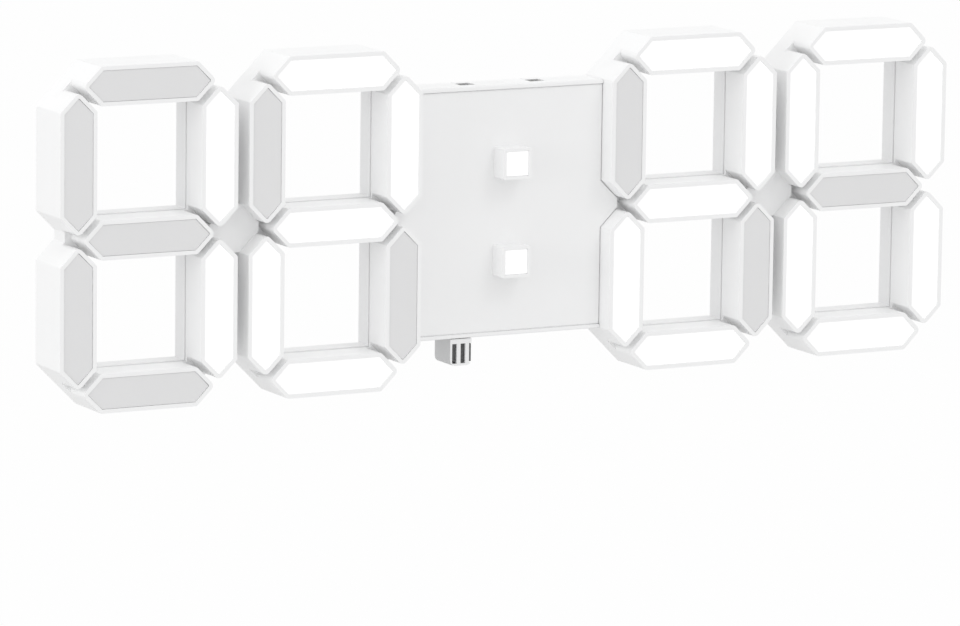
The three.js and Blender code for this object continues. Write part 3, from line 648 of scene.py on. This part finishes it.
def finish_of(name):
    """Makes each finish of the clock once."""
    if name in made:
        return made[name]
    colours = bpy.context.scene.clock_colours
    grain = bpy.context.scene.clock_sizes.grain
    # Name, colour, roughness, width of the grain, depth of the grain
    plastics = {
        "housing": ("white_housing_plastic", colours.housing, 0.36, grain, 0.006 * MM),
        "cover": ("white_cover_plastic", colours.cover, 0.52, grain * 2, 0.03 * MM),
        "button": ("pale_button_plastic", (0.78, 0.785, 0.79), 0.5, grain, 0.02 * MM),
        "black": ("black_plastic", (0.022, 0.022, 0.024), 0.45, grain, 0.02 * MM),
        "sensor": ("sensor_plastic", (0.9, 0.902, 0.905), 0.42, grain, 0.01 * MM),
        # Painted shade: the sensor cover's sides take this grey, darker than its white front
        "sensor_side": ("sensor_side_plastic", (0.62, 0.622, 0.626), 0.5, grain, 0.02 * MM),
        "diode": ("diode_plastic", (0.85, 0.7, 0.28), 0.3, grain, 0.004 * MM),
    }
    # Name, colour, roughness
    metals = {
        "steel": ("screw_steel", (0.62, 0.62, 0.63), 0.32),
        "cell": ("cell_steel", (0.74, 0.745, 0.75), 0.22),
        "shield": ("shield_steel", (0.7, 0.7, 0.69), 0.3),
    }
    # Name, colour of the mask, colour over the tracks, spacing of the tracks
    boards = {
        "white_board": ("white_board", (0.8, 0.815, 0.8), (0.72, 0.74, 0.72), 2.2 * MM),
        "green_board": ("green_board", (0.03, 0.14, 0.07), (0.05, 0.22, 0.11), 2.2 * MM),
    }
    # Name, colour, colour of the light, strength of the light
    lenses = {
        "unlit": ("unlit_diffuser", colours.unlit, colours.lit, 0.0),
        "lit": ("lit_diffuser", (0.86, 0.86, 0.86), colours.lit, 0.3),
    }
    # Name, colour, spacing of the conductors or the threads
    ribbons = {"ribbon": ("grey_ribbon", (0.62, 0.63, 0.64), 1.0 * MM)}
    screens = {"screen": ("dust_screen", (0.19, 0.192, 0.195), 0.45 * MM)}
    kinds = (
        (plastics, moulded_plastic),
        (metals, plain_metal),
        (boards, circuit_board),
        (lenses, milky_lens),
        (ribbons, ribbon_surface),
        (screens, woven_screen),
    )
    makers = {key: partial(make, *row) for rows, make in kinds for key, row in rows.items()}
    made[name] = makers[name]()
    return made[name]


# Pieces

def add_piece(bm, node, materials, body):
    """Turns built geometry into the piece that stands for a node and moves with a body."""
    name = f"{node}_piece"
    mesh = bpy.data.meshes.new(name)
    bm.to_mesh(mesh)
    bm.free()
    piece = bpy.data.objects.new(name, mesh)
    bpy.context.scene.collection.objects.link(piece)
    for material in materials:
        mesh.materials.append(material)
    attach(piece, body)
    slot_of(node)
    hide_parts(node)
    return piece


def finished(bm, node, finishes, edge, body=BODY, zones=()):
    """Makes a piece from a mesh. Faces in the first zone take the second finish, and so on."""
    for face in bm.faces:
        middle = face.calc_center_median()
        for index, zone in enumerate(zones):
            if zone(middle):
                face.material_index = index + 1
    piece = add_piece(bm, node, [finish_of(name) for name in finishes], body)
    if edge:
        rounded(piece, edge, bpy.context.scene.clock_sizes.edge_steps)


def dressed_node(node, finishes, edge, zones=()):
    """Remakes a fixed node's solid with round edges."""
    finished(node_mesh(node), node, finishes, edge, zones=zones)


def make_centre_panel(sizes):
    """Centre panel with a fine seam along the inner foot of its two lips."""
    lowest_lip, highest_lip = 0.05 * MM, 2 * MM
    bm = node_mesh("centre_panel")
    fronts = [face for face in bm.faces if face.normal.y < -FLAT]
    panel = max(fronts, key=lambda face: face.calc_area()).verts[0].co.y
    lips = [face for face in fronts if lowest_lip < panel - face.verts[0].co.y < highest_lip]
    foot = min(abs(vert.co.z) for face in lips for vert in face.verts)
    for low, high in ((foot - sizes.panel_seam, foot), (-foot, sizes.panel_seam - foot)):
        for height in (low, high):
            cut_across(bm, (0, 0, height), (0, 0, 1))
        strip = []
        for face in bm.faces:
            middle = face.calc_center_median()
            level = abs(middle.y - panel) < LEVEL_DISTANCE
            if face.normal.y < -FLAT and level and low < middle.z < high:
                strip.append(face)
        sink(bm, strip, sizes.panel_seam)
    bmesh.ops.recalc_face_normals(bm, faces=bm.faces)
    finished(bm, "centre_panel", ["housing"], sizes.housing_edge)


def make_screw(node, sizes):
    """Pan-head screw with a cross drive, its head to the rear."""
    dome_steps = 4
    arm_width = sizes.screw_drive * 0.42
    depth, floor_share = sizes.screw_drive * 0.5, 0.7
    edge = sizes.small_edge * 0.4
    place, profile = turned_form(node)
    head, top = profile[-2]
    profile = profile[:-2]
    for k in range(dome_steps + 1):
        angle = math.radians(90 * k / dome_steps)
        inwards = sizes.screw_dome * (1 - math.cos(angle))
        rise = sizes.screw_dome * (math.sin(angle) - 1)
        profile.append((head - inwards, top + rise))
    bm = turned_mesh(profile, place, sizes.turned_steps)
    drive = cross(*place, sizes.screw_drive, arm_width)
    pressed_in(bm, rear_face(bm, top), [drive], depth, floor_share)
    finished(bm, node, ["steel"], edge)


def make_button(node, sizes):
    """Setting button whose cap is hollowed for a fingertip."""
    dish_share = 0.85
    place, profile = turned_form(node)
    reach, top = profile[-2]
    profile = profile[:-1]
    for share in (dish_share, 0.7, 0.5, 0.25, 0.0):
        fall = math.sqrt(1 - (share / dish_share) ** 2)
        profile.append((reach * share, top - sizes.button_dish * fall))
    bm = turned_mesh(profile, place, sizes.turned_steps)
    finished(bm, node, ["button"], sizes.small_edge, node)


def make_coin_cell(sizes):
    """Coin cell with a low step inside the rim of its can."""
    step, outer_share, inner_share = 0.12 * MM, 0.86, 0.845
    place, profile = turned_form("coin_cell")
    rim, top = profile[-2]
    profile = profile[:-1]
    profile += [(rim * outer_share, top), (rim * inner_share, top - step), (0, top - step)]
    bm = turned_mesh(profile, place, sizes.turned_steps * 2)
    finished(bm, "coin_cell", ["cell"], sizes.small_edge)


def make_battery_door(edge):
    """Battery door with fine notches on the floor of its finger grip."""
    pitches, margin_share = 8, 0.22
    depth, floor_share = 0.25 * MM, 0.6
    below_rim = 0.3 * MM
    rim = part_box("battery_door")[1].y
    bm = node_mesh("battery_door")
    behind = [
        face for face in bm.faces
        if face.normal.y > FLAT and face.verts[0].co.y < rim - below_rim
    ]
    grip = max(behind, key=lambda face: face.verts[0].co.y)
    places = [vert.co for vert in grip.verts]
    left, right = min(place.x for place in places), max(place.x for place in places)
    bottom, top = min(place.z for place in places), max(place.z for place in places)
    pitch = (right - left) / pitches
    margin = (top - bottom) * margin_share
    low, high = bottom + margin, top - margin
    notches = []
    for k in range(pitches - 1):
        x = left + (k + 1) * pitch
        near, far = x - pitch / 4, x + pitch / 4
        notches.append([(near, low), (far, low), (far, high), (near, high)])
    pressed_in(bm, grip, notches, depth, floor_share)
    finished(bm, "battery_door", ["cover"], edge, "battery_door")


def make_screen(edge):
    """Dust screen that bulges out into the open vent at the corner, so that its dark finish fills
    the vent as painted shade.
    """
    overlap, front_gap, foot_gap = 0.8 * MM, 0.3 * MM, 0.4 * MM
    low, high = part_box("sensor_screen")
    cover_low, cover_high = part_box("sensor_cover")
    near = Vector((high.x - overlap, cover_low.y + front_gap, low.z + foot_gap))
    size = Vector((cover_high.x - edge, high.y, high.z)) - near
    # Painted shade: a block in the dark screen finish reaches into the open corner vent
    bulge = bmesh.new()
    place = Matrix.Translation(near + size / 2) @ Matrix.Diagonal((*size, 1))
    bmesh.ops.create_cube(bulge, size=1, matrix=place)
    finished(united(node_mesh("sensor_screen"), bulge), "sensor_screen", ["screen"], 0)


def make_boards(edge):
    """The light boards and the main board, with light sources and switches in their own finish."""
    diode_height, switch_height = 1.0 * MM, 2.9 * MM
    for node in nodes_like("led_board_"):
        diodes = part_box(node)[0].y + diode_height
        dressed_node(node, ["white_board", "diode"], edge, [lambda c: c.y < diodes])
    low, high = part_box("main_board")
    lamps, switches = low.y + diode_height, high.y - switch_height
    zones = [lambda c: c.y < lamps, lambda c: c.y > switches]
    dressed_node("main_board", ["green_board", "diode", "black"], edge, zones)


def make_radio_module(edge):
    """Radio module with a steel can on its small board."""
    board_thickness = 0.85 * MM
    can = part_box("radio_module")[0].y + board_thickness
    dressed_node("radio_module", ["green_board", "shield"], edge, [lambda c: c.y > can])


def make_power_socket(edge):
    """Steel power socket with a black tongue in its mouth."""
    half_width, half_thickness = 3.15 * MM, 0.4 * MM
    low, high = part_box("power_socket")
    middle = (low + high) / 2
    tongue = [
        lambda c: abs(c.x - middle.x) < half_width and abs(c.y - middle.y) < half_thickness
    ]
    dressed_node("power_socket", ["shield", "black"], edge, tongue)


def make_sensor_cover(edge):
    """Sensor cover with a white front, grey painted shade on its sides, and painted shade in its
    corner vent in the dark screen finish.
    """
    low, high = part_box("sensor_cover")
    wall, reach = 1.05 * MM, 1.2 * MM
    vent = Vector((high.x - wall, low.y + 2 * MM, low.z + 1.5 * MM))
    vent_end = Vector((high.x, low.y + 3 * MM, high.z - 6 * MM))
    left_edge, right_edge = low.x + reach, high.x - reach
    front = low.y + 1.0 * MM
    zones = [
        # Painted shade: faces inside the corner vent take the dark screen finish
        lambda c: all(vent[i] < c[i] < vent_end[i] for i in range(3)),
        # Painted shade: the cover's sides behind its front take the grey finish
        lambda c: c.x < left_edge and c.y > front or c.x > right_edge and c.y > vent_end.y,
    ]
    dressed_node("sensor_cover", ["sensor", "screen", "sensor_side"], edge * 2, zones)


def make_sensor_board(edge):
    """Sensor board with its chip in black."""
    chip_height = 1.05 * MM
    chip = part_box("sensor_board")[0].y + chip_height
    dressed_node("sensor_board", ["green_board", "black"], edge, [lambda c: c.y < chip])


# The stage

def make_floor():
    """Pale floor that keeps the clock's shadow and is seen almost as plain white."""
    bm = bmesh.new()
    bmesh.ops.create_grid(
        bm, x_segments=FLOOR_SQUARES, y_segments=FLOOR_SQUARES, size=FLOOR_REACH
    )
    mesh = bpy.data.meshes.new("studio_floor")
    bm.to_mesh(mesh)
    bm.free()
    floor = bpy.data.objects.new("studio_floor", mesh)
    floor.location = (0, 0, FLOOR_HEIGHT)
    bpy.context.scene.collection.objects.link(floor)
    material = bpy.data.materials.new("studio_floor")
    material.use_nodes = True
    tree = material.node_tree
    shader = tree.nodes["Principled BSDF"]
    shader.inputs["Base Color"].default_value = FLOOR_COLOUR
    shader.inputs["Roughness"].default_value = FLOOR_ROUGHNESS
    white = tree.nodes.new("ShaderNodeEmission")
    white.inputs["Color"].default_value = WHITE
    white.inputs["Strength"].default_value = 1.0
    rays = tree.nodes.new("ShaderNodeLightPath")
    share = tree.nodes.new("ShaderNodeMath")
    share.operation = "MULTIPLY"
    share.inputs[1].default_value = FLOOR_WHITENESS
    tree.links.new(rays.outputs["Is Camera Ray"], share.inputs[0])
    mixed_shaders(tree, share.outputs[0], shader, white, "Material Output")
    mesh.materials.append(material)


def make_world():
    """Soft light from all round, seen as plain white, also in gloss and through clear pieces."""
    world = bpy.data.worlds.new("studio")
    bpy.context.scene.world = world
    world.use_nodes = True
    tree = world.node_tree
    soft = tree.nodes["Background"]
    soft.inputs["Color"].default_value = WHITE
    soft.inputs["Strength"].default_value = SOFT_STRENGTH
    white = tree.nodes.new("ShaderNodeBackground")
    white.inputs["Color"].default_value = WHITE
    white.inputs["Strength"].default_value = SEEN_STRENGTH
    rays = tree.nodes.new("ShaderNodeLightPath")
    seen = rays.outputs["Is Camera Ray"]
    for name in ("Is Glossy Ray", "Is Transmission Ray"):
        node = tree.nodes.new("ShaderNodeMath")
        node.operation = "MAXIMUM"
        tree.links.new(seen, node.inputs[0])
        tree.links.new(rays.outputs[name], node.inputs[1])
        seen = node.outputs[0]
    mixed_shaders(tree, seen, soft, white, "World Output")


def mixed_shaders(tree, factor, first, second, output):
    """Mixes two shaders by a factor and sends the mix to the tree's output."""
    mix = tree.nodes.new("ShaderNodeMixShader")
    for source, socket in zip((factor, first.outputs[0], second.outputs[0]), mix.inputs):
        tree.links.new(source, socket)
    tree.links.new(mix.outputs[0], tree.nodes[output].inputs["Surface"])


def make_lights():
    """Square lamps that face the clock."""
    for name, place in LAMPS.items():
        light = bpy.data.lights.new(name, "AREA")
        light.shape = "SQUARE"
        light.size = LAMP_SIDE
        light.energy = LAMP_POWER
        lamp = bpy.data.objects.new(name, light)
        lamp.location = place
        lamp.rotation_mode = "QUATERNION"
        lamp.rotation_quaternion = (-Vector(place)).to_track_quat("-Z", "Y")
        bpy.context.scene.collection.objects.link(lamp)


def make_camera():
    """Stands the camera where the photograph was taken from."""
    back = Vector((
        math.sin(CAMERA_AZIMUTH) * math.cos(CAMERA_ELEVATION),
        -math.cos(CAMERA_AZIMUTH) * math.cos(CAMERA_ELEVATION),
        math.sin(CAMERA_ELEVATION),
    ))
    level = Vector((math.cos(CAMERA_AZIMUTH), math.sin(CAMERA_AZIMUTH), 0))
    upright = back.cross(level)
    right = level * math.cos(CAMERA_ROLL) + upright * math.sin(CAMERA_ROLL)
    up = upright * math.cos(CAMERA_ROLL) - level * math.sin(CAMERA_ROLL)
    lens = bpy.data.cameras.new("camera")
    lens.lens = CAMERA_LENS
    lens.sensor_width = FILM_WIDTH
    lens.sensor_fit = "HORIZONTAL"
    camera = bpy.data.objects.new("camera", lens)
    turn = Matrix((right, up, back)).transposed().to_4x4()
    camera.matrix_world = Matrix.Translation(CAMERA_PLACE) @ turn
    bpy.context.scene.collection.objects.link(camera)
    bpy.context.scene.camera = camera


# Operators, one for each group of pieces and one for the stage

class CLOCK_OT_housings(Operator):
    """Makes the two digit mouldings and the centre panel"""
    bl_idname = "clock.housings"
    bl_label = "Front mouldings"

    def execute(self, context):
        sizes = context.scene.clock_sizes
        for node in nodes_like("front_housing_"):
            dressed_node(node, ["housing"], sizes.housing_edge)
        make_centre_panel(sizes)
        return {"FINISHED"}


class CLOCK_OT_lenses(Operator):
    """Makes the lit and unlit lenses"""
    bl_idname = "clock.lenses"
    bl_label = "Segment and colon lenses"

    def execute(self, context):
        sizes = context.scene.clock_sizes
        for node in nodes_like("lens_"):
            bm = node_mesh(node)
            if not node.startswith("lens_colon"):
                widened(bm, sizes.lens_seat)
            finish = "lit" if slot_of(node) == "lit_lens" else "unlit"
            finished(bm, node, [finish], sizes.lens_edge)
        return {"FINISHED"}


class CLOCK_OT_covers(Operator):
    """Makes the three rear covers and the battery door"""
    bl_idname = "clock.covers"
    bl_label = "Rear covers and battery door"

    def execute(self, context):
        edge = context.scene.clock_sizes.housing_edge
        for node in nodes_like("rear_cover_"):
            dressed_node(node, ["cover"], edge)
        make_battery_door(edge)
        return {"FINISHED"}


class CLOCK_OT_screws(Operator):
    """Makes the screws that hold the rear covers"""
    bl_idname = "clock.screws"
    bl_label = "Cover screws"

    def execute(self, context):
        for node in nodes_like("cover_screw_"):
            make_screw(node, context.scene.clock_sizes)
        return {"FINISHED"}


class CLOCK_OT_buttons(Operator):
    """Makes the three setting buttons"""
    bl_idname = "clock.buttons"
    bl_label = "Setting buttons"

    def execute(self, context):
        for node in nodes_like("button_"):
            make_button(node, context.scene.clock_sizes)
        return {"FINISHED"}


class CLOCK_OT_electronics(Operator):
    """Makes the boards, links, battery, buzzer, radio module and power socket"""
    bl_idname = "clock.electronics"
    bl_label = "Boards and inner pieces"

    def execute(self, context):
        sizes = context.scene.clock_sizes
        edge = sizes.small_edge
        make_boards(edge)
        for node in nodes_like("ribbon_link_"):
            dressed_node(node, ["ribbon"], edge)
        make_coin_cell(sizes)
        for node in ("cell_holder", "buzzer"):
            dressed_node(node, ["black"], edge)
        make_radio_module(edge)
        make_power_socket(edge)
        return {"FINISHED"}


class CLOCK_OT_sensor(Operator):
    """Makes the vented sensor cover, the dust screen behind its vents and its board"""
    bl_idname = "clock.sensor"
    bl_label = "Vented sensor"

    def execute(self, context):
        edge = context.scene.clock_sizes.small_edge
        make_sensor_cover(edge)
        make_screen(edge)
        make_sensor_board(edge)
        return {"FINISHED"}


class CLOCK_OT_stage(Operator):
    """Makes the floor, the lights, the white surround and the camera"""
    bl_idname = "clock.stage"
    bl_label = "Studio stage"

    def execute(self, context):
        make_floor()
        make_world()
        make_lights()
        make_camera()
        context.scene.view_settings.view_transform = "Standard"
        return {"FINISHED"}


OPERATORS = (
    CLOCK_OT_housings,
    CLOCK_OT_lenses,
    CLOCK_OT_covers,
    CLOCK_OT_screws,
    CLOCK_OT_buttons,
    CLOCK_OT_electronics,
    CLOCK_OT_sensor,
    CLOCK_OT_stage,
)


class CLOCK_PT_panel(Panel):
    """Lists the sizes, the colours and the operators"""
    bl_idname = "CLOCK_PT_panel"
    bl_label = "Digital wall clock"
    bl_space_type = "VIEW_3D"
    bl_region_type = "UI"
    bl_category = "Clock"

    def draw(self, context):
        layout = self.layout
        for group in (context.scene.clock_sizes, context.scene.clock_colours):
            for name in group.__annotations__:
                layout.prop(group, name)
        for operator in OPERATORS:
            layout.operator(operator.bl_idname)


CLASSES = (ClockSizes, ClockColours, *OPERATORS, CLOCK_PT_panel)


def register():
    for item in CLASSES:
        bpy.utils.register_class(item)
    bpy.types.Scene.clock_sizes = PointerProperty(type=ClockSizes)
    bpy.types.Scene.clock_colours = PointerProperty(type=ClockColours)


def unregister():
    del bpy.types.Scene.clock_colours
    del bpy.types.Scene.clock_sizes
    for item in reversed(CLASSES):
        bpy.utils.unregister_class(item)


def main():
    register()
    bpy.ops.clock.housings()
    bpy.ops.clock.lenses()
    bpy.ops.clock.covers()
    bpy.ops.clock.screws()
    bpy.ops.clock.buttons()
    bpy.ops.clock.electronics()
    bpy.ops.clock.sensor()
    bpy.ops.clock.stage()


if __name__ == "__main__":
    main()
